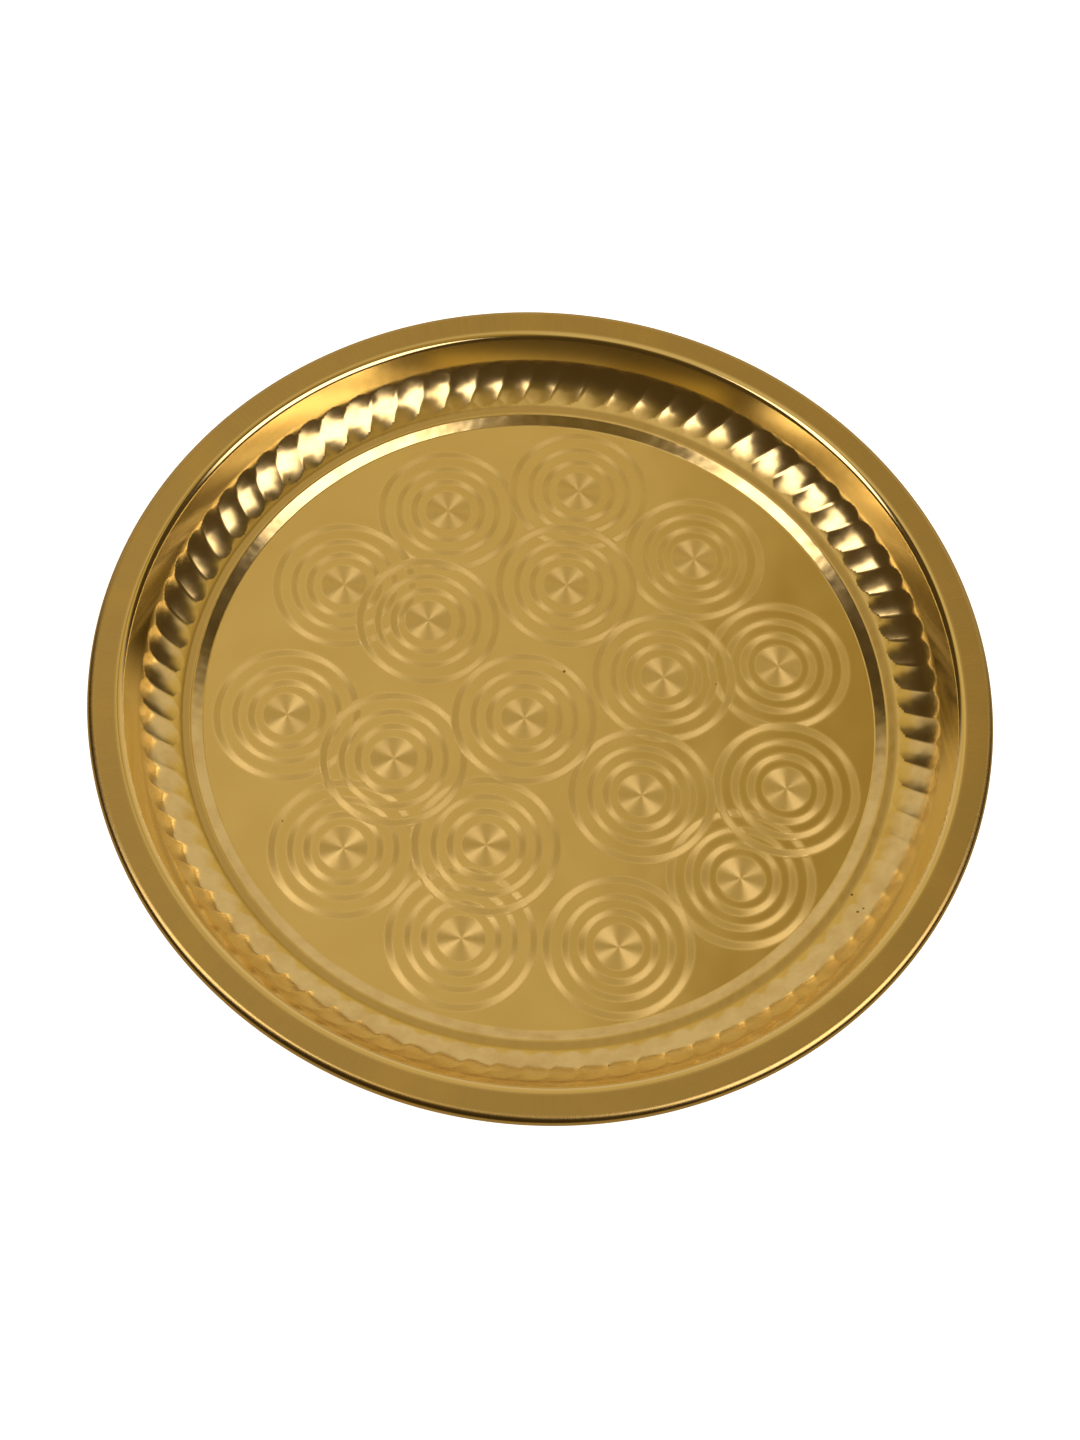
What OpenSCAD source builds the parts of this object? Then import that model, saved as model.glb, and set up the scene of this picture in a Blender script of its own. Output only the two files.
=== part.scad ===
// Round brass serving tray, pressed from one sheet: a flat floor in a shallow recess, a narrow ledge, a
// coved wall embossed with slanted flutes, a level rim flange and an edge rolled over a stiffening wire.
// Origin: centre of the underside of the floor. +Z is up, and is the tray's axis. Millimetres, degrees.
// The sheet is drawn as zones, each its own solid, that meet face to face along its bend lines.

/* [Sheet] */
// Outer diameter over the rolled edge
tray_d = 300; // [240:1:400]
// Thickness of the brass sheet
sheet_t = 0.7; // [0.5:0.05:0.75]

/* [Recessed floor] */
// Width of the bright step round the floor, seen from above
step_w = 4.5; // [4.3:0.1:7]
// Steepest slope of the step
step_slope = 32; // [24:1:34]
// Radius of the hollow at the foot of the step
step_foot_r = 1.2; // [1:0.1:3]
// Radius of the shoulder at the top of the step
step_shoulder_r = 1.8; // [1:0.1:4]
// Width of the nearly level ledge between the step and the wall
ledge_w = 2; // [0.5:0.1:4]
// Slope of the ledge
ledge_slope = 3.5; // [0:0.5:8]

/* [Wall] */
// Radius of the cove that the wall follows
cove_r = 20.1; // [18:0.1:26]
// Slope of the wall where the cove starts
cove_start = 13; // [10:1:13]
// Steepest slope of the wall, from the top of the cove to the lip
cove_end = 62; // [62:1:66]
// Length of the straight top of the wall, between the cove and the lip
wall_top = 7.8; // [4:0.1:10]
// Radius of the hollow between the ledge and the cove
cove_foot_r = 5; // [2:0.1:6]
// Radius of the lip between wall and rim
lip_r = 3; // [2:0.1:6]

/* [Flutes] */
// Number of flutes round the wall
flute_count = 84; // [60:1:96]
// How far a flute stands proud of the cove
flute_height = 0.3; // [0.15:0.05:0.6]
// Slope of the cove at the lower ends of the flutes
flute_low = 15; // [15:1:20]
// Slope of the cove at the upper ends of the flutes
flute_high = 60; // [55:1:60]
// Degrees round the tray that a flute leans, clockwise from its lower to its upper end
flute_lean = 2.6; // [0:0.1:5]
// Degrees that all the flutes are turned round the tray, anticlockwise
flute_turn = 1; // [0:0.1:4]
// Share by which the flutes stand closer together than on average on the -Y side
flute_crowding = 0.045; // [0:0.005:0.1]

/* [Rim] */
// Width of the flange, from the middle of the lip to the middle of the wire
flange_w = 6.8; // [6:0.1:20]
// Height of the rolled edge's crest over the lip
flange_rise = 0.4; // [0:0.1:0.6]
// Diameter of the wire in the rolled edge
wire_d = 3.6; // [3:0.1:4]

/* [Hidden] */
$fn = 180;

wire_gap = 0.02;    // clearance between the wire and the curl round it
curl_end = -305;    // slope of the sheet at the curl's raw edge, after it has gone round the wire
bend_step = 4;      // degrees of a bend that one facet covers
flute_margin = 2;   // degrees of plain cove that the fluted zone keeps beyond both flute ends
flute_cols = 4;     // facets across one flute
flute_rows = 6;     // facets along one flute

// Rolled edge
bead_r = wire_d / 2 + wire_gap + sheet_t;
bead_at = tray_d / 2 - bead_r;

// Lip and cove, worked inwards from the rim
lip_at = bead_at - flange_w;
cove_at = lip_at - (lip_r + cove_r) * sin(cove_end) - wall_top * cos(cove_end);
cove_in = cove_at + cove_r * sin(cove_start);

// Ledge and floor step, worked inwards from the cove: hollow, ledge, shoulder, riser and hollow foot
cove_foot_w = cove_foot_r * (sin(cove_start) - sin(ledge_slope));
cove_foot_h = cove_foot_r * (cos(ledge_slope) - cos(cove_start));
ledge_h = ledge_w * tan(ledge_slope);
shoulder_w = step_shoulder_r * (sin(step_slope) - sin(ledge_slope));
shoulder_h = step_shoulder_r * (cos(ledge_slope) - cos(step_slope));
foot_w = step_foot_r * sin(step_slope);
foot_h = step_foot_r * (1 - cos(step_slope));
riser_w = step_w - foot_w - shoulder_w;
riser_h = riser_w * tan(step_slope);
ledge_out = cove_in - cove_foot_w;
step_out = ledge_out - ledge_w;
floor_r = step_out - step_w;

// Heights over the surface that the tray stands on
step_top = sheet_t + foot_h + riser_h + shoulder_h;
ledge_top = step_top + ledge_h;
cove_z = ledge_top + cove_foot_h + cove_r * cos(cove_start);
lip_z = cove_z - (cove_r + lip_r) * cos(cove_end) + wall_top * sin(cove_end);
bead_z = lip_z + lip_r + flange_rise - bead_r;

// Slope of the flange, which is tangent to the lip and to the rolled edge
flange_slope = atan2(bead_z - lip_z, flange_w)
    - asin((lip_r - bead_r) / norm([flange_w, bead_z - lip_z]));

// Half the width of a flute at mid-length, and the same as an angle of the cove
flute_half_w = PI * (cove_at + cove_r * sin((flute_low + flute_high) / 2)) / flute_count;
flute_end_a = flute_half_w / cove_r * 180 / PI;

// Point of the bent sheet at a slope. A bend upwards has its centre above the sheet and r over 0, and a bend
// downwards has it below and r under 0. Depth is 0 on the upper face and sheet_t on the lower one.
function bent(at, z, r, slope, depth) = [at + (r + depth) * sin(slope), z - (r + depth) * cos(slope)];

// One face of a bend [at, z, r, first slope, last slope], in steps of at most bend_step
function bend_face(bend, depth) =
    let (turn = bend[4] - bend[3], steps = ceil(abs(turn) / bend_step))
    [for (i = [0 : steps]) bent(bend[0], bend[1], bend[2], bend[3] + turn * i / max(1, steps), depth)];

// Ring of sheet through a row of bends, straight from each bend to the next
module sheet_ring(bends) {
    upper = [for (bend = bends) each bend_face(bend, 0)];
    lower = [for (bend = bends) each bend_face(bend, sheet_t)];
    count = len(lower);
    rotate_extrude() polygon(concat(upper, [for (i = [count - 1 : -1 : 0]) lower[i]]));
}

// Flat middle of the tray, which it stands on
module floor_disc() {
    color("#b8943f") cylinder(r = floor_r, h = sheet_t);
}

// Bright step round the floor, and the ledge up to the foot of the flutes
module floor_step() {
    foot = [floor_r, sheet_t + step_foot_r, step_foot_r, 0, step_slope];
    shoulder = [
        step_out + step_shoulder_r * sin(ledge_slope),
        step_top - step_shoulder_r * cos(ledge_slope),
        -step_shoulder_r, step_slope, ledge_slope
    ];
    cove_foot = [
        ledge_out - cove_foot_r * sin(ledge_slope),
        ledge_top + cove_foot_r * cos(ledge_slope),
        cove_foot_r, ledge_slope, cove_start
    ];
    cove = [cove_at, cove_z, cove_r, cove_start, flute_low - flute_margin];
    color("#dcc07a") sheet_ring([foot, shoulder, cove_foot, cove]);
}

// How far a slope of the cove lies past the straight part of a flute, towards either of its round ends:
// 0 on the straight part, and 1 at the very end
function flute_past(slope) =
    max(0, flute_low + flute_end_a - slope, slope - flute_high + flute_end_a) / flute_end_a;

// Height of a flute over the cove, across the flute from -1 to 1. Neighbours meet in a crease.
function flute_lift(slope, across) = flute_height * max(0, 1 - pow(across, 2) - pow(flute_past(slope), 2));

// Direction round the tray of a place counted in flutes, at a slope of the cove
function flute_angle(place, slope) =
    let (even = 360 * place / flute_count)
    flute_turn + even - flute_crowding * cos(even) * 180 / PI
        - flute_lean * (slope - flute_low) / (flute_high - flute_low);

// Point of the fluted sheet, with depth 0 on its upper face and sheet_t on its lower one
function wall_point(place, slope, depth) =
    let (
        r = cove_r + depth - flute_lift(slope, 2 * (place - floor(place)) - 1),
        out = cove_at + r * sin(slope),
        a = flute_angle(place, slope)
    )
    [out * cos(a), out * sin(a), cove_z - r * cos(slope)];

// Fluted zone of the wall: one closed skin, its rows running up the upper face and down the lower one
module fluted_wall() {
    low = flute_low - flute_margin;
    high = flute_high + flute_margin;
    slopes = [for (i = [0 : flute_rows]) low + (high - low) * i / flute_rows];
    rows = concat(
        [for (i = [0 : flute_rows]) [slopes[i], 0]],
        [for (i = [flute_rows : -1 : 0]) [slopes[i], sheet_t]]
    );
    cols = flute_count * flute_cols;
    points = [for (row = rows) for (c = [0 : cols - 1]) wall_point(c / flute_cols, row[0], row[1])];
    faces = [
        for (i = [0 : len(rows) - 1])
        for (c = [0 : cols - 1])
        let (a = i * cols, b = (i + 1) % len(rows) * cols, d = (c + 1) % cols)
        for (face = [[a + c, b + c, b + d], [a + c, b + d, a + d]]) face
    ];
    color("#caa24c") polyhedron(points, faces);
}

// Plain top of the wall, the rounded lip and the flange, up to the crest of the rolled edge
module rim_flange() {
    cove = [cove_at, cove_z, cove_r, flute_high + flute_margin, cove_end];
    lip = [lip_at, lip_z, -lip_r, cove_end, flange_slope];
    crest = [bead_at, bead_z, -bead_r, flange_slope, flange_slope];
    color("#a8823a") sheet_ring([cove, lip, crest]);
}

// Edge of the sheet, curled outwards, down and back under the wire
module rolled_edge() {
    curl = [bead_at, bead_z, -bead_r, flange_slope, curl_end];
    color("#8f6c2c") sheet_ring([curl]);
}

// Wire hidden in the rolled edge
module edge_wire() {
    color("#77797c") rotate_extrude() translate([bead_at, bead_z]) circle(d = wire_d);
}

floor_disc();
floor_step();
fluted_wall();
rim_flange();
rolled_edge();
edge_wire();
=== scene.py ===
"""A round brass serving tray: one pressed sheet with a satin floor, a mirror-bright step, slanted flutes,
a brushed rim and an edge rolled over a wire.

Every visible zone of the sheet is built again here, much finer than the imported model, from the same bends.
Metres, with angles in degrees unless a name says otherwise.
"""
import math

import bmesh
import bpy
import numpy as np
from mathutils import Matrix, Vector


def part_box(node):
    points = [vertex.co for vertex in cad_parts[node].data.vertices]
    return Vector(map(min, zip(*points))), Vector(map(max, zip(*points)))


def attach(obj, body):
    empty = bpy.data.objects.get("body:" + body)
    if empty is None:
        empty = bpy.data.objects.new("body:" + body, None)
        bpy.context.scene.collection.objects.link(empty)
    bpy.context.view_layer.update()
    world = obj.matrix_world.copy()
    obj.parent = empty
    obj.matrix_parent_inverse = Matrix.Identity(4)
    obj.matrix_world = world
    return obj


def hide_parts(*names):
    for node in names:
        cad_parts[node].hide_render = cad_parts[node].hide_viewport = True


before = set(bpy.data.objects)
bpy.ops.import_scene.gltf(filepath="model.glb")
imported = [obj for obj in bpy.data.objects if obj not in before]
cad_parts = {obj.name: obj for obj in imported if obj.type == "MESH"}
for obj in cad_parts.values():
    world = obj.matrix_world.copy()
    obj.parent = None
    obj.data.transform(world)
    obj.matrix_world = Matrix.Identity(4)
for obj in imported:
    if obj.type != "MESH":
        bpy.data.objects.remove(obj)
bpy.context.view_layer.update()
MM = 0.001

# ---------------------------------------------------------------- sizes, from the frame and the sheet's bends

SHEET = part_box("floor_disc")[1].z
FLOOR_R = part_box("floor_disc")[1].x
TRAY_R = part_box("rolled_edge")[1].x
WIRE_R = (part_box("edge_wire")[1].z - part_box("edge_wire")[0].z) / 2

STEP_W = 4.5 * MM
STEP_SLOPE = 32
STEP_FOOT_R = 1.2 * MM
STEP_SHOULDER_R = 1.8 * MM
LEDGE_W = 2 * MM
LEDGE_SLOPE = 3.5
COVE_FOOT_R = 5 * MM
COVE_R = 20.1 * MM
COVE_START = 13
COVE_END = 62
WALL_TOP = 7.8 * MM
LIP_R = 3 * MM
FLANGE_W = 6.8 * MM
FLANGE_RISE = 0.4 * MM
WIRE_GAP = 0.02 * MM
CURL_END = -305

FLUTES = 84
FLUTE_HEIGHT = 0.3 * MM
FLUTE_LOW = 15
FLUTE_HIGH = 60
FLUTE_LEAN = 2.6
FLUTE_TURN = 1
FLUTE_CROWDING = 0.045
FLUTE_MARGIN = 2


def sin(a):
    return math.sin(math.radians(a))


def cos(a):
    return math.cos(math.radians(a))


BEAD_R = WIRE_R + WIRE_GAP + SHEET
BEAD_AT = TRAY_R - BEAD_R
LIP_AT = BEAD_AT - FLANGE_W
COVE_AT = LIP_AT - (LIP_R + COVE_R) * sin(COVE_END) - WALL_TOP * cos(COVE_END)
LEDGE_OUT = COVE_AT + COVE_R * sin(COVE_START) - COVE_FOOT_R * (sin(COVE_START) - sin(LEDGE_SLOPE))
STEP_OUT = LEDGE_OUT - LEDGE_W
RISER_W = STEP_W - STEP_FOOT_R * sin(STEP_SLOPE) - STEP_SHOULDER_R * (sin(STEP_SLOPE) - sin(LEDGE_SLOPE))
STEP_TOP = (
    SHEET
    + STEP_FOOT_R * (1 - cos(STEP_SLOPE))
    + RISER_W * math.tan(math.radians(STEP_SLOPE))
    + STEP_SHOULDER_R * (cos(LEDGE_SLOPE) - cos(STEP_SLOPE))
)
LEDGE_TOP = STEP_TOP + LEDGE_W * math.tan(math.radians(LEDGE_SLOPE))
COVE_Z = LEDGE_TOP + COVE_FOOT_R * (cos(LEDGE_SLOPE) - cos(COVE_START)) + COVE_R * cos(COVE_START)
LIP_Z = COVE_Z - (COVE_R + LIP_R) * cos(COVE_END) + WALL_TOP * sin(COVE_END)
BEAD_Z = LIP_Z + LIP_R + FLANGE_RISE - BEAD_R
FLANGE_SLOPE = math.degrees(
    math.atan2(BEAD_Z - LIP_Z, FLANGE_W) - math.asin((LIP_R - BEAD_R) / math.hypot(FLANGE_W, BEAD_Z - LIP_Z))
)
FLUTE_HALF_W = math.pi * (COVE_AT + COVE_R * sin((FLUTE_LOW + FLUTE_HIGH) / 2)) / FLUTES
FLUTE_END = math.degrees(FLUTE_HALF_W / COVE_R)

# ---------------------------------------------------------------- meshes

ROUND = 504             # columns round a plain ring
FLUTE_COLS = 12         # columns across one flute
FLUTE_ROWS_UP = 49      # rows along the flutes, on the upper and lower faces
FLUTE_ROWS_LOW = 33
NUDGE = 1e-4            # flutes or degrees between the points that a normal is worked out from


def bend(at, z, r, first, last, steps):
    """Stations (centre out, centre up, radius, slope) along one bend; r is under 0 for a bend downwards."""
    return [(at, z, r, first + (last - first) * i / steps) for i in range(steps + 1)]


def straight(first, last, steps):
    """Stations between two bends, as bends of no turn whose centres move from one to the other's end."""
    at0, z0, r0, slope = first
    at1, z1, r1, _ = last
    x0, y0 = at0 + r0 * sin(slope), z0 - r0 * cos(slope)
    x1, y1 = at1 + r1 * sin(slope), z1 - r1 * cos(slope)
    found = []
    for i in range(1, steps):
        k = i / steps
        found.append((x0 + (x1 - x0) * k - r0 * sin(slope), y0 + (y1 - y0) * k + r0 * cos(slope), r0, slope))
    return found


def turned(stations, depth, count):
    """Points and normals of one face of a plain ring, as arrays of rows by columns by 3."""
    a = np.arange(count) * (2 * math.pi / count)
    points, normals = [], []
    for at, z, r, slope in stations:
        out, up = at + (r + depth) * sin(slope), z - (r + depth) * cos(slope)
        tilt, rise = -sin(slope), cos(slope)
        points.append(np.stack([out * np.cos(a), out * np.sin(a), np.full(count, up)], 1))
        normals.append(np.stack([tilt * np.cos(a), tilt * np.sin(a), np.full(count, rise)], 1))
    return np.array(points), np.array(normals)


def flute_lift(slope, across):
    """Height of a flute over the cove; across is -1 to 1 from crease to crease."""
    past_end = np.maximum(FLUTE_LOW + FLUTE_END - slope, slope - FLUTE_HIGH + FLUTE_END)
    past = np.maximum(0, past_end) / FLUTE_END
    return FLUTE_HEIGHT * np.maximum(0, 1 - across ** 2 - past ** 2)


def flute_point(place, slope, depth):
    """Points of the fluted sheet at places counted in flutes and at slopes of the cove."""
    across = 2 * (place - np.floor(place)) - 1
    r = COVE_R + depth - flute_lift(slope, across)
    even = 2 * math.pi * place / FLUTES
    lean = FLUTE_LEAN * (slope - FLUTE_LOW) / (FLUTE_HIGH - FLUTE_LOW)
    a = even + np.radians(FLUTE_TURN - lean) - FLUTE_CROWDING * np.cos(even)
    s = np.radians(slope)
    out = COVE_AT + r * np.sin(s)
    return np.stack([out * np.cos(a), out * np.sin(a), COVE_Z - r * np.cos(s)], -1)


def fluted(slopes, depth):
    """Points and normals of one face of the fluted zone. A crease gets the mean of its two sides."""
    count = FLUTES * FLUTE_COLS
    place, slope = np.meshgrid(np.arange(count) / FLUTE_COLS, slopes)
    points = flute_point(place, slope, depth)
    uphill = flute_point(place, slope + NUDGE, depth) - flute_point(place, slope - NUDGE, depth)
    sideways = flute_point(place + NUDGE, slope, depth) - flute_point(place - NUDGE, slope, depth)
    normals = np.cross(uphill, sideways)
    normals /= np.linalg.norm(normals, axis=2)[:, :, None]
    return points, normals


def skin(name, upper, lower):
    """A closed ring of sheet from its upper and lower faces, with exact normals on both."""
    (up, up_n), (low, low_n) = upper, lower
    rows_up, count, _ = up.shape
    rows_low = low.shape[0]
    points = np.concatenate([up, low[::-1]]).reshape(-1, 3)
    normals = np.concatenate([up_n, -low_n[::-1]]).reshape(-1, 3)
    rows = rows_up + rows_low
    faces, edge_faces = [], []
    for i in range(rows):
        j = (i + 1) % rows
        edge = i == rows_up - 1 or i == rows - 1
        for c in range(count):
            d = (c + 1) % count
            faces.append((i * count + c, j * count + c, j * count + d, i * count + d))
            edge_faces.append(edge)
    mesh = bpy.data.meshes.new(name)
    mesh.from_pydata(points.tolist(), [], faces)
    mesh.update()
    for polygon, edge in zip(mesh.polygons, edge_faces):
        polygon.use_smooth = not edge
    corner = np.empty(len(mesh.loops), np.int32)
    mesh.loops.foreach_get("vertex_index", corner)
    chosen = normals[corner]
    for polygon, edge in zip(mesh.polygons, edge_faces):
        if edge:
            chosen[polygon.loop_start:polygon.loop_start + polygon.loop_total] = polygon.normal
    mesh.normals_split_custom_set(chosen.tolist())
    piece = bpy.data.objects.new(name, mesh)
    bpy.context.scene.collection.objects.link(piece)
    return piece


def floor_stations():
    """The flat floor out to the step, as bends of no turn; the first row all but closes on the centre."""
    inner = [0.02 * MM, 4 * MM, 12 * MM]
    outer = np.linspace(24 * MM, FLOOR_R, 11).tolist()
    return [(r, SHEET, 0, 0) for r in inner + outer]


def step_stations():
    foot = bend(FLOOR_R, SHEET + STEP_FOOT_R, STEP_FOOT_R, 0, STEP_SLOPE, 12)
    shoulder = bend(
        STEP_OUT + STEP_SHOULDER_R * sin(LEDGE_SLOPE), STEP_TOP - STEP_SHOULDER_R * cos(LEDGE_SLOPE),
        -STEP_SHOULDER_R, STEP_SLOPE, LEDGE_SLOPE, 12,
    )
    hollow = bend(
        LEDGE_OUT - COVE_FOOT_R * sin(LEDGE_SLOPE), LEDGE_TOP + COVE_FOOT_R * cos(LEDGE_SLOPE),
        COVE_FOOT_R, LEDGE_SLOPE, COVE_START, 8,
    )
    ledge = straight(shoulder[-1], hollow[0], 3)
    return foot + straight(foot[-1], shoulder[0], 3) + shoulder + ledge + hollow


def flange_stations():
    cove = (COVE_AT, COVE_Z, COVE_R, COVE_END)
    lip = bend(LIP_AT, LIP_Z, -LIP_R, COVE_END, FLANGE_SLOPE, 32)
    crest = (BEAD_AT, BEAD_Z, -BEAD_R, FLANGE_SLOPE)
    return [cove] + straight(cove, lip[0], 8) + lip + straight(lip[-1], crest, 8) + [crest]


def edge_stations():
    return bend(BEAD_AT, BEAD_Z, -BEAD_R, FLANGE_SLOPE, CURL_END, 100)


def plain_ring(name, stations):
    return skin(name, turned(stations, 0, ROUND), turned(stations, SHEET, ROUND))


def fluted_ring(name):
    low, high = FLUTE_LOW - FLUTE_MARGIN, FLUTE_HIGH + FLUTE_MARGIN
    upper = fluted(np.linspace(low, high, FLUTE_ROWS_UP), 0)
    lower = fluted(np.linspace(low, high, FLUTE_ROWS_LOW), SHEET)
    return skin(name, upper, lower)


# ---------------------------------------------------------------- node helpers


class Nodes:
    """Short ways to add nodes to the tree of a material, a light or the world."""

    def __init__(self, tree):
        self.tree = tree

    def add(self, kind, **settings):
        node = self.tree.nodes.new(kind)
        for key, value in settings.items():
            setattr(node, key, value)
        return node

    def put(self, socket, value):
        if isinstance(value, bpy.types.NodeSocket):
            self.tree.links.new(value, socket)
        elif value is not None:
            socket.default_value = value

    def math(self, operation, a, b=None):
        node = self.add("ShaderNodeMath", operation=operation)
        for socket, value in zip(node.inputs, (a, b)):
            self.put(socket, value)
        return node.outputs[0]

    def vector(self, operation, a, b=None, scale=None):
        node = self.add("ShaderNodeVectorMath", operation=operation)
        self.put(node.inputs[0], a)
        self.put(node.inputs[1], b)
        if scale is not None:
            self.put(node.inputs["Scale"], scale)
        return node.outputs["Value" if operation in ("LENGTH", "DISTANCE", "DOT_PRODUCT") else "Vector"]

    def mix(self, factor, a, b):
        node = self.add("ShaderNodeMix", data_type="RGBA")
        for socket, value in zip((node.inputs[0], node.inputs[6], node.inputs[7]), (factor, a, b)):
            self.put(socket, value)
        return node.outputs[2]

    def mix_vector(self, factor, a, b):
        node = self.add("ShaderNodeMix", data_type="VECTOR")
        for socket, value in zip((node.inputs[0], node.inputs[4], node.inputs[5]), (factor, a, b)):
            self.put(socket, value)
        return node.outputs[1]

    def mix_value(self, factor, a, b):
        node = self.add("ShaderNodeMix", data_type="FLOAT")
        for socket, value in zip((node.inputs[0], node.inputs[2], node.inputs[3]), (factor, a, b)):
            self.put(socket, value)
        return node.outputs[0]

    def noise(self, vector, scale, detail=2.0, roughness=0.5):
        node = self.add("ShaderNodeTexNoise")
        self.put(node.inputs["Vector"], vector)
        node.inputs["Scale"].default_value = scale
        node.inputs["Detail"].default_value = detail
        node.inputs["Roughness"].default_value = roughness
        return node.outputs["Fac"]

    def fade(self, value, off, on):
        """Rises smoothly from 0 where value is off to 1 where it is on; off may be the larger."""
        return self.remap(value, min(off, on), max(off, on), int(off > on), int(off < on), smooth=True)

    def band(self, value, low, high, blur):
        """1 where value lies between low and high, with edges blurred over blur."""
        rise = self.fade(value, low - blur / 2, low + blur / 2)
        fall = self.fade(value, high + blur / 2, high - blur / 2)
        return self.math("MULTIPLY", rise, fall)

    def remap(self, value, from_low, from_high, to_low, to_high, smooth=False):
        node = self.add("ShaderNodeMapRange", interpolation_type="SMOOTHSTEP" if smooth else "LINEAR")
        for socket, number in zip(node.inputs, (value, from_low, from_high, to_low, to_high)):
            self.put(socket, number)
        return node.outputs[0]

    def position(self):
        return self.add("ShaderNodeTexCoord").outputs["Object"]

    def flat(self, position):
        """The same position at the height of the tray's foot."""
        return self.vector("MULTIPLY", position, (1, 1, 0))


def metal(name, base, roughness):
    """A material of plain metal, with its nodes and its shader for more detail."""
    material = bpy.data.materials.new(name)
    material.use_nodes = True
    material.node_tree.nodes.clear()
    nodes = Nodes(material.node_tree)
    shader = nodes.add("ShaderNodeBsdfPrincipled")
    shader.inputs["Metallic"].default_value = 1.0
    nodes.put(shader.inputs["Base Color"], base)
    nodes.put(shader.inputs["Roughness"], roughness)
    out = nodes.add("ShaderNodeOutputMaterial")
    nodes.put(out.inputs[0], shader.outputs[0])
    return material, nodes, shader


# ---------------------------------------------------------------- materials

BRASS = (0.90, 0.76, 0.41, 1)
BRASS_SATIN = (0.84, 0.70, 0.335, 1)
BRASS_RING = (0.92, 0.77, 0.40, 1)
BRASS_BRUSHED = (0.55, 0.43, 0.19, 1)
BRASS_DULL = (0.50, 0.36, 0.14, 1)
BRASS_WORN = (0.66, 0.48, 0.18, 1)
BRASS_LEDGE = (0.62, 0.49, 0.22, 1)
STAIN = (0.10, 0.06, 0.03, 1)
STEEL = (0.45, 0.46, 0.47, 1)

# Centres of the ring marks, as (distance from the tray's centre in mm, direction in degrees)
MARKS_OUTER = [
    (84, 120), (88, 88), (81, 55), (84, 19.5), (89.5, 324), (87, 348), (89, 293), (87.5, 259.5), (84, 226),
    (86, 190), (82.5, 153),
]
MARKS_INNER = [(49, 86.5), (44, 24), (46, 323.5), (54, 257), (53.5, 209), (51, 147)]
MARKS_CENTRE = [(7, 221)]

# Brushed bands of one mark, as (inner, outer) radius in mm, and the width over which their edges fade
MARK_BANDS = [(-1.0, 8.2), (10.6, 13.4), (16.1, 18.7), (22.0, 24.9)]
MARK_BLUR = 1.6

# Spots of tarnish, as (distance from the tray's centre in mm, direction in degrees, radius in mm)
FLOOR_SPECKS = [(16.2, 68, 0.7), (96, 214, 0.4), (61, 17, 0.35)]
WALL_SPECKS = [
    (126.3, 331.2, 0.6), (127.2, 332.1, 0.45), (121.6, 333.5, 0.6), (128.5, 286, 0.4), (124, 143, 0.4),
]
SPECK_DARKNESS = 0.8


def upper_side(nodes):
    """1 where the face looks up and 0 where it looks down, as on the back of the sheet."""
    parts = nodes.add("ShaderNodeSeparateXYZ")
    nodes.put(parts.inputs[0], nodes.add("ShaderNodeTexCoord").outputs["Normal"])
    return nodes.remap(parts.outputs["Z"], -0.1, 0.1, 0, 1)


def per_mm(nodes, vector, *counts):
    """A vector in metres, rescaled to this many units a millimetre along each axis."""
    return nodes.vector("MULTIPLY", vector, tuple(count / MM for count in counts))


def waves(nodes, shader, height, depth):
    """Perturbs the shader's normal by a height from 0 to 1 that stands for a depth in metres."""
    bump = nodes.add("ShaderNodeBump")
    bump.inputs["Strength"].default_value = 1
    bump.inputs["Distance"].default_value = depth
    nodes.put(bump.inputs["Height"], height)
    nodes.put(shader.inputs["Normal"], bump.outputs[0])


def specks(nodes, flat, places):
    """How dark the upper side is on its small spots, and 0 between them."""
    spots = 0.0
    for out, direction, radius in places:
        distance = nodes.vector("DISTANCE", flat, (out * MM * cos(direction), out * MM * sin(direction), 0))
        spots = nodes.math("MAXIMUM", spots, nodes.fade(distance, radius * MM, radius * 0.5 * MM))
    return nodes.math("MULTIPLY", nodes.math("MULTIPLY", spots, SPECK_DARKNESS), upper_side(nodes))


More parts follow.
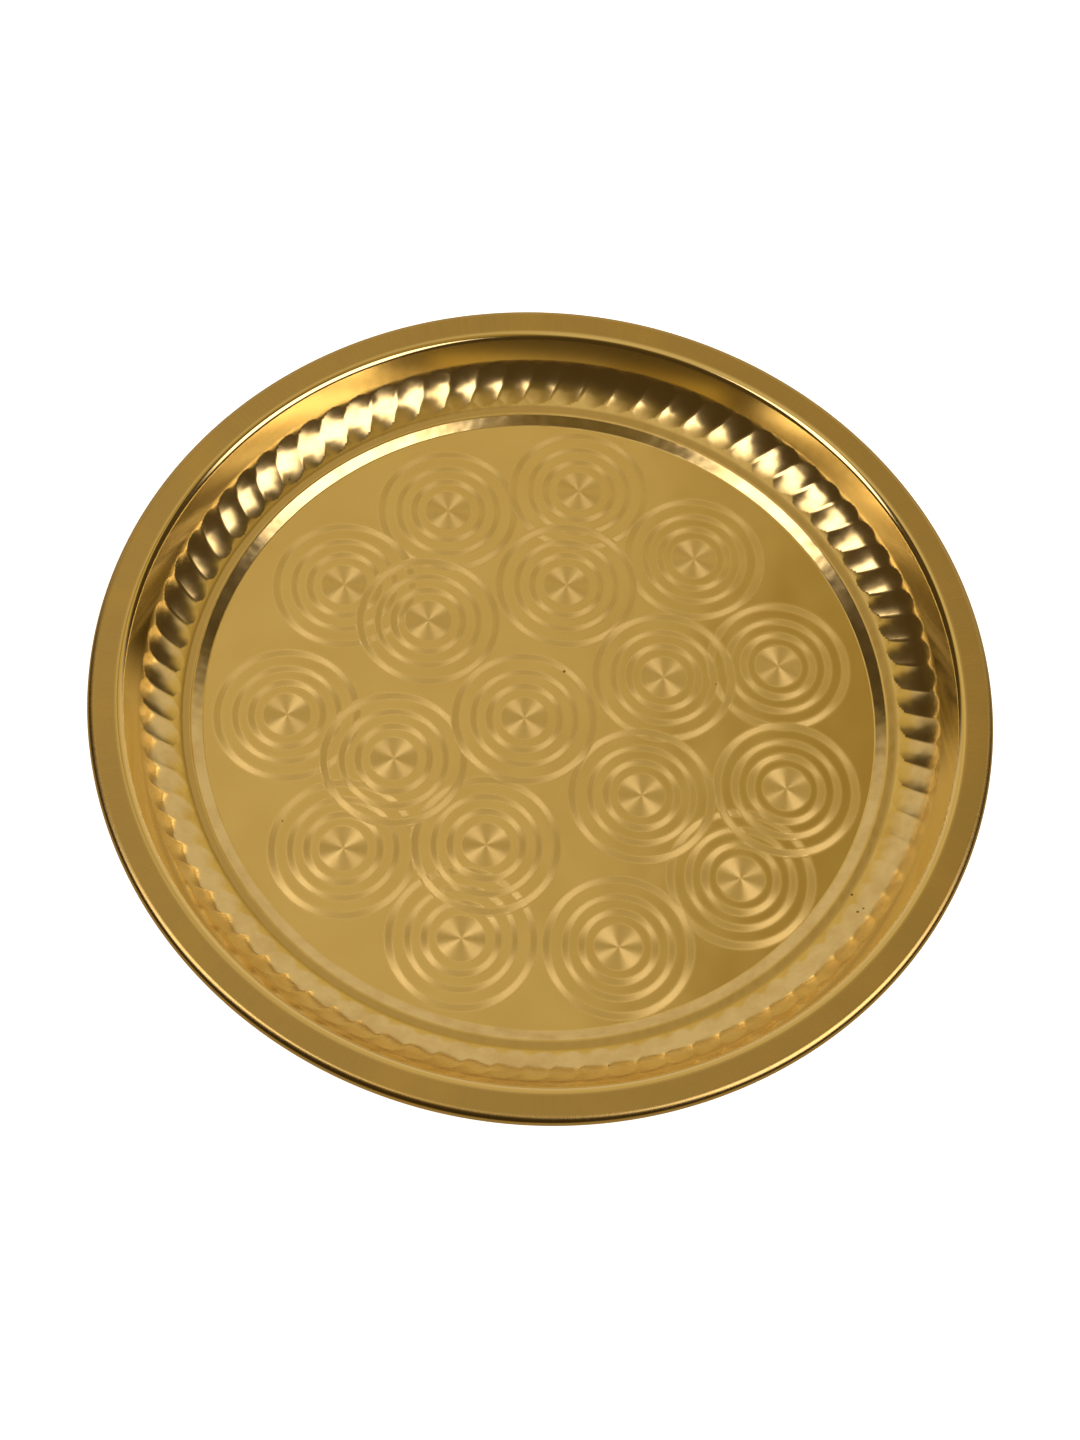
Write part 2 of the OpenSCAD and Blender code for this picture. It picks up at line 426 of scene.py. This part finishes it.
def satin_floor():
    """Satin brass with overlapping marks of concentric rings, each brushed round its own centre."""
    material, nodes, shader = metal("satin_brass", BRASS_SATIN, 0.3)
    flat = nodes.flat(nodes.position())
    across = (1, 0, 0)
    rings, from_centre = 0.0, 0.0
    for out, direction in MARKS_OUTER + MARKS_INNER + MARKS_CENTRE:
        centre = (out * MM * cos(direction), out * MM * sin(direction), 0)
        offset = nodes.vector("SUBTRACT", flat, centre)
        distance = nodes.vector("LENGTH", offset)
        mask = None
        for low, high in MARK_BANDS:
            ring = nodes.band(distance, low * MM, high * MM, MARK_BLUR * MM)
            mask = ring if mask is None else nodes.math("ADD", mask, ring)
        across = nodes.mix_vector(mask, across, nodes.vector("NORMALIZE", offset))
        from_centre = nodes.mix_value(mask, from_centre, distance)
        rings = nodes.math("MAXIMUM", rings, mask)
    rings = nodes.math("MULTIPLY", rings, upper_side(nodes))
    grain = nodes.noise(per_mm(nodes, flat, 2.6, 2.6, 1), 1.0, 3.0)
    patina = nodes.noise(per_mm(nodes, flat, 0.03, 0.03, 1), 1.0, 3.0)
    groove = nodes.vector("SCALE", (1, 0, 0), scale=nodes.math("MULTIPLY", from_centre, 1.8 / MM))
    grooves = nodes.noise(groove, 1.0, 1.0)
    plain = nodes.mix(nodes.remap(patina, 0.35, 0.75, 0, 0.35), BRASS_SATIN, BRASS_WORN)
    colour = nodes.mix(rings, plain, BRASS_RING)
    colour = nodes.mix(nodes.remap(grain, 0.3, 0.7, 0.0, 0.10), colour, BRASS_WORN)
    colour = nodes.mix(specks(nodes, flat, FLOOR_SPECKS), colour, STAIN)
    colour = nodes.mix(upper_side(nodes), BRASS_DULL, colour)
    roughness = nodes.mix_value(rings, 0.15, nodes.remap(grooves, 0.3, 0.7, 0.34, 0.42))
    nodes.put(shader.inputs["Tangent"], across)
    nodes.put(shader.inputs["Anisotropic"], nodes.math("MULTIPLY", rings, 0.92))
    nodes.put(shader.inputs["Base Color"], colour)
    roughness = nodes.math("ADD", roughness, nodes.remap(grain, 0.3, 0.7, -0.02, 0.03))
    nodes.put(shader.inputs["Roughness"], roughness)
    waves(nodes, shader, nodes.noise(per_mm(nodes, flat, 0.045, 0.045, 1), 1.0, 1.0), 0.25 * MM)
    return material


def polished_wall():
    """Bright brass of the step and wall, slightly wavy from the press and rubbed by cleaning."""
    material, nodes, shader = metal("polished_brass", BRASS, 0.13)
    position = nodes.position()
    smear = nodes.noise(per_mm(nodes, position, 0.12, 0.12, 0.12), 1.0, 4.0, 0.6)
    colour = nodes.mix(nodes.remap(smear, 0.42, 0.75, 0, 0.5), BRASS, BRASS_WORN)
    flat = nodes.flat(position)
    on_ledge = nodes.band(nodes.vector("LENGTH", flat), STEP_OUT, LEDGE_OUT + 1.0 * MM, 1.2 * MM)
    colour = nodes.mix(on_ledge, colour, BRASS_LEDGE)
    colour = nodes.mix(specks(nodes, flat, WALL_SPECKS), colour, STAIN)
    nodes.put(shader.inputs["Base Color"], nodes.mix(upper_side(nodes), BRASS_DULL, colour))
    nodes.put(shader.inputs["Roughness"], nodes.remap(smear, 0.3, 0.7, 0.13, 0.20))
    waves(nodes, shader, nodes.noise(per_mm(nodes, position, 0.16, 0.16, 0.16), 1.0, 1.0), 0.12 * MM)
    return material


def brushed_rim():
    """Bright lip, and a flange and edge brushed across in short radial strokes."""
    material, nodes, shader = metal("brushed_brass", BRASS_BRUSHED, 0.3)
    position = nodes.position()
    flat = nodes.flat(position)
    out, outward = nodes.vector("LENGTH", flat), nodes.vector("NORMALIZE", flat)
    brushed = nodes.fade(out, LIP_AT - 0.8 * MM, LIP_AT + 0.8 * MM)
    round_rim = nodes.vector("SCALE", outward, scale=TRAY_R / MM)
    across_rim = nodes.vector("SCALE", (0, 0, 1), scale=nodes.math("MULTIPLY", out, 0.05 / MM))
    strokes = nodes.noise(nodes.vector("ADD", round_rim, across_rim), 1.0, 2.0)
    blotches = nodes.noise(per_mm(nodes, position, 0.06, 0.06, 0.06), 1.0, 3.0)
    colour = nodes.mix(nodes.remap(strokes, 0.45, 0.8, 0, 0.30), BRASS_BRUSHED, BRASS_DULL)
    colour = nodes.mix(nodes.remap(blotches, 0.45, 0.75, 0, 0.5), colour, BRASS_WORN)
    colour = nodes.mix(brushed, BRASS, colour)
    nodes.put(shader.inputs["Base Color"], nodes.mix(upper_side(nodes), BRASS_DULL, colour))
    roughness = nodes.mix_value(brushed, 0.10, nodes.remap(strokes, 0.3, 0.7, 0.24, 0.29))
    nodes.put(shader.inputs["Roughness"], roughness)
    nodes.put(shader.inputs["Anisotropic"], nodes.math("MULTIPLY", brushed, 0.5))
    nodes.put(shader.inputs["Tangent"], nodes.vector("CROSS_PRODUCT", (0, 0, 1), outward))
    return material


# ---------------------------------------------------------------- pieces


def place(piece, material, slot, node):
    """Gives a piece its material, and lets it stand in for a CAD node."""
    piece.data.materials.append(material)
    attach(piece, "root")
    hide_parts(node)


satin, polished, brushed = satin_floor(), polished_wall(), brushed_rim()
steel = metal("wire_steel", STEEL, 0.3)[0]
place(plain_ring("tray_floor", floor_stations()), satin, "satin_brass", "floor_disc")
place(plain_ring("tray_step", step_stations()), polished, "polished_brass", "floor_step")
place(fluted_ring("tray_flutes"), polished, "polished_brass", "fluted_wall")
place(plain_ring("tray_flange", flange_stations()), brushed, "brushed_brass", "rim_flange")
place(plain_ring("tray_rolled_edge", edge_stations()), brushed, "brushed_brass", "rolled_edge")
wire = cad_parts["edge_wire"]
wire.data.materials.clear()
wire.data.materials.append(steel)

# ---------------------------------------------------------------- stage, lights and camera

BACKDROP_R = 8.0
FLOOR_HALF = 6.0
FLOOR_DROP = 0.05 * MM      # how far the ground lies below the tray, so that the two don't share a plane

LIGHT_COLOUR = (1, 0.82, 0.66)
LIGHT_DISTANCE = 0.9
LIGHT_RADIANCE = 3.0
LIGHT_FADE = 0.2            # share of a panel's side over which its light fades towards the edge

WORLD_SIDE = (0.06, 0.037, 0.012, 1)
WORLD_REAR = (0.57, 0.405, 0.137, 1)
WORLD_HORIZON = (0.62, 0.49, 0.32, 1)
WORLD_OVERHEAD = (0.61, 0.46, 0.235, 1)
WORLD_OVERHEAD_RIGHT = (0.36, 0.24, 0.07, 1)
WORLD_FRONT = (0.28, 0.19, 0.05, 1)
WORLD_BELOW = (0.50, 0.36, 0.17, 1)
WORLD_REAR_TURN = 0.044     # how far the bright rear is turned to the left, as a slope

CAMERA_TARGET = Vector((0, -4.6 * MM, SHEET))
CAMERA_DISTANCE = 0.7317
CAMERA_ELEVATION = 63.77
CAMERA_ROLL = 7.53
CAMERA_LENS = 53.97


def link(piece):
    bpy.context.scene.collection.objects.link(piece)
    return piece


def make_backdrop():
    """White dome far behind everything, seen by the camera only."""
    mesh = bpy.data.meshes.new("stage_backdrop")
    shape = bmesh.new()
    bmesh.ops.create_icosphere(shape, subdivisions=4, radius=BACKDROP_R)
    shape.to_mesh(mesh)
    shape.free()
    dome = link(bpy.data.objects.new("stage_backdrop", mesh))
    dome.visible_diffuse = dome.visible_glossy = dome.visible_transmission = dome.visible_shadow = False
    material = bpy.data.materials.new("backdrop_white")
    material.use_nodes = True
    material.node_tree.nodes.clear()
    nodes = Nodes(material.node_tree)
    glow = nodes.add("ShaderNodeEmission")
    out = nodes.add("ShaderNodeOutputMaterial")
    nodes.put(out.inputs[0], glow.outputs[0])
    dome.data.materials.append(material)


def make_floor():
    """White ground. From below it lets the camera through, so that the tray's back can be looked at."""
    corners = [(x * FLOOR_HALF, y * FLOOR_HALF, 0) for x, y in ((-1, -1), (1, -1), (1, 1), (-1, 1))]
    mesh = bpy.data.meshes.new("stage_floor")
    mesh.from_pydata(corners, [], [(0, 1, 2, 3)])
    floor = link(bpy.data.objects.new("stage_floor", mesh))
    floor.location.z = -FLOOR_DROP
    floor.visible_glossy = False
    material = bpy.data.materials.new("stage_white")
    material.use_nodes = True
    nodes = Nodes(material.node_tree)
    shader = material.node_tree.nodes["Principled BSDF"]
    shader.inputs["Base Color"].default_value = (0.9, 0.9, 0.9, 1)
    shader.inputs["Roughness"].default_value = 0.9
    shader.inputs["Specular IOR Level"].default_value = 0
    shader.inputs["Emission Color"].default_value = (1, 1, 1, 1)
    shader.inputs["Emission Strength"].default_value = 1.0
    seen_below = nodes.add("ShaderNodeMixShader")
    nodes.put(seen_below.inputs[0], nodes.add("ShaderNodeNewGeometry").outputs["Backfacing"])
    nodes.put(seen_below.inputs[1], shader.outputs[0])
    nodes.put(seen_below.inputs[2], nodes.add("ShaderNodeBsdfTransparent").outputs[0])
    nodes.put(material.node_tree.nodes["Material Output"].inputs[0], seen_below.outputs[0])
    floor.data.materials.append(material)


def softbox(name, zenith, azimuth, size):
    """Panel of light that faces the tray, size (level, towards the zenith), unseen by the camera."""
    light = bpy.data.lights.new(name, "AREA")
    light.shape = "RECTANGLE"
    light.size, light.size_y = size
    light.energy = LIGHT_RADIANCE * math.pi * size[0] * size[1]
    light.color = LIGHT_COLOUR
    light.use_nodes = True
    nodes = Nodes(light.node_tree)
    parts = nodes.add("ShaderNodeSeparateXYZ")
    nodes.put(parts.inputs[0], nodes.add("ShaderNodeNewGeometry").outputs["Parametric"])
    fades = []
    for across in parts.outputs[:2]:
        from_middle = nodes.math("ABSOLUTE", nodes.math("SUBTRACT", across, 0.5))
        from_edge = nodes.math("SUBTRACT", 0.5, from_middle)
        fades.append(nodes.fade(from_edge, 0, LIGHT_FADE))
    nodes.put(light.node_tree.nodes["Emission"].inputs["Strength"], nodes.math("MULTIPLY", *fades))
    lamp = link(bpy.data.objects.new(name, light))
    away = Vector((sin(zenith) * cos(azimuth), sin(zenith) * sin(azimuth), cos(zenith)))
    lamp.location = away * LIGHT_DISTANCE
    lamp.rotation_euler = away.to_track_quat("Z", "Y").to_euler()
    lamp.visible_camera = False


def make_world():
    """Studio round the tray: a bright rear that is paler low down, a bright ceiling and ground, a dim front
    and near-black sides.
    """
    world = bpy.data.worlds.new("studio")
    bpy.context.scene.world = world
    world.use_nodes = True
    nodes = Nodes(world.node_tree)
    background = world.node_tree.nodes["Background"]
    parts = nodes.add("ShaderNodeSeparateXYZ")
    nodes.put(parts.inputs[0], nodes.add("ShaderNodeTexCoord").outputs["Generated"])
    x, y, z = parts.outputs
    sideways = nodes.math("ABSOLUTE", x)
    level = nodes.math("SQRT", nodes.math("SUBTRACT", 1, nodes.math("MULTIPLY", z, z)))
    rearward = nodes.math("SUBTRACT", y, nodes.math("MULTIPLY", x, WORLD_REAR_TURN))
    rearward = nodes.math("DIVIDE", rearward, nodes.math("MAXIMUM", level, 0.05))
    horizon = nodes.math("MULTIPLY", nodes.fade(z, 0.68, 0.50), nodes.fade(z, -0.12, 0.0))
    overhead = nodes.math("MULTIPLY", nodes.fade(y, -0.45, -0.15), nodes.fade(sideways, 0.45, 0.25))
    overhead = nodes.math("MULTIPLY", nodes.fade(z, 0.72, 0.86), overhead)
    front = nodes.math("MULTIPLY", nodes.fade(y, -0.75, -0.05), nodes.fade(sideways, 0.45, 0.15))
    front = nodes.math("MULTIPLY", front, nodes.remap(y, 0.0, 0.2, 1, 0))
    rear = nodes.mix(horizon, WORLD_REAR, WORLD_HORIZON)
    ceiling = nodes.mix(nodes.fade(x, 0.02, 0.13), WORLD_OVERHEAD, WORLD_OVERHEAD_RIGHT)
    colour = nodes.mix(front, WORLD_SIDE, WORLD_FRONT)
    colour = nodes.mix(nodes.fade(rearward, 0.44, 0.62), colour, rear)
    colour = nodes.mix(overhead, colour, ceiling)
    colour = nodes.mix(nodes.fade(z, -0.02, -0.25), colour, WORLD_BELOW)
    nodes.put(background.inputs["Color"], colour)
    background.inputs["Strength"].default_value = 1


def make_camera():
    data = bpy.data.cameras.new("camera")
    data.lens = CAMERA_LENS
    data.sensor_width = 36
    camera = link(bpy.data.objects.new("camera", data))
    back = Vector((0, -cos(CAMERA_ELEVATION), sin(CAMERA_ELEVATION)))
    tilt = Matrix.Rotation(math.radians(90 - CAMERA_ELEVATION), 4, "X")
    roll = Matrix.Rotation(math.radians(CAMERA_ROLL), 4, "Z")
    camera.matrix_world = Matrix.Translation(CAMERA_TARGET + back * CAMERA_DISTANCE) @ tilt @ roll
    bpy.context.scene.camera = camera


make_floor()
make_backdrop()
softbox("softbox_right", 43, -22, (0.80, 0.70))
softbox("softbox_left", 37, 200, (0.38, 0.76))
make_world()
make_camera()
bpy.context.scene.view_settings.view_transform = "Standard"
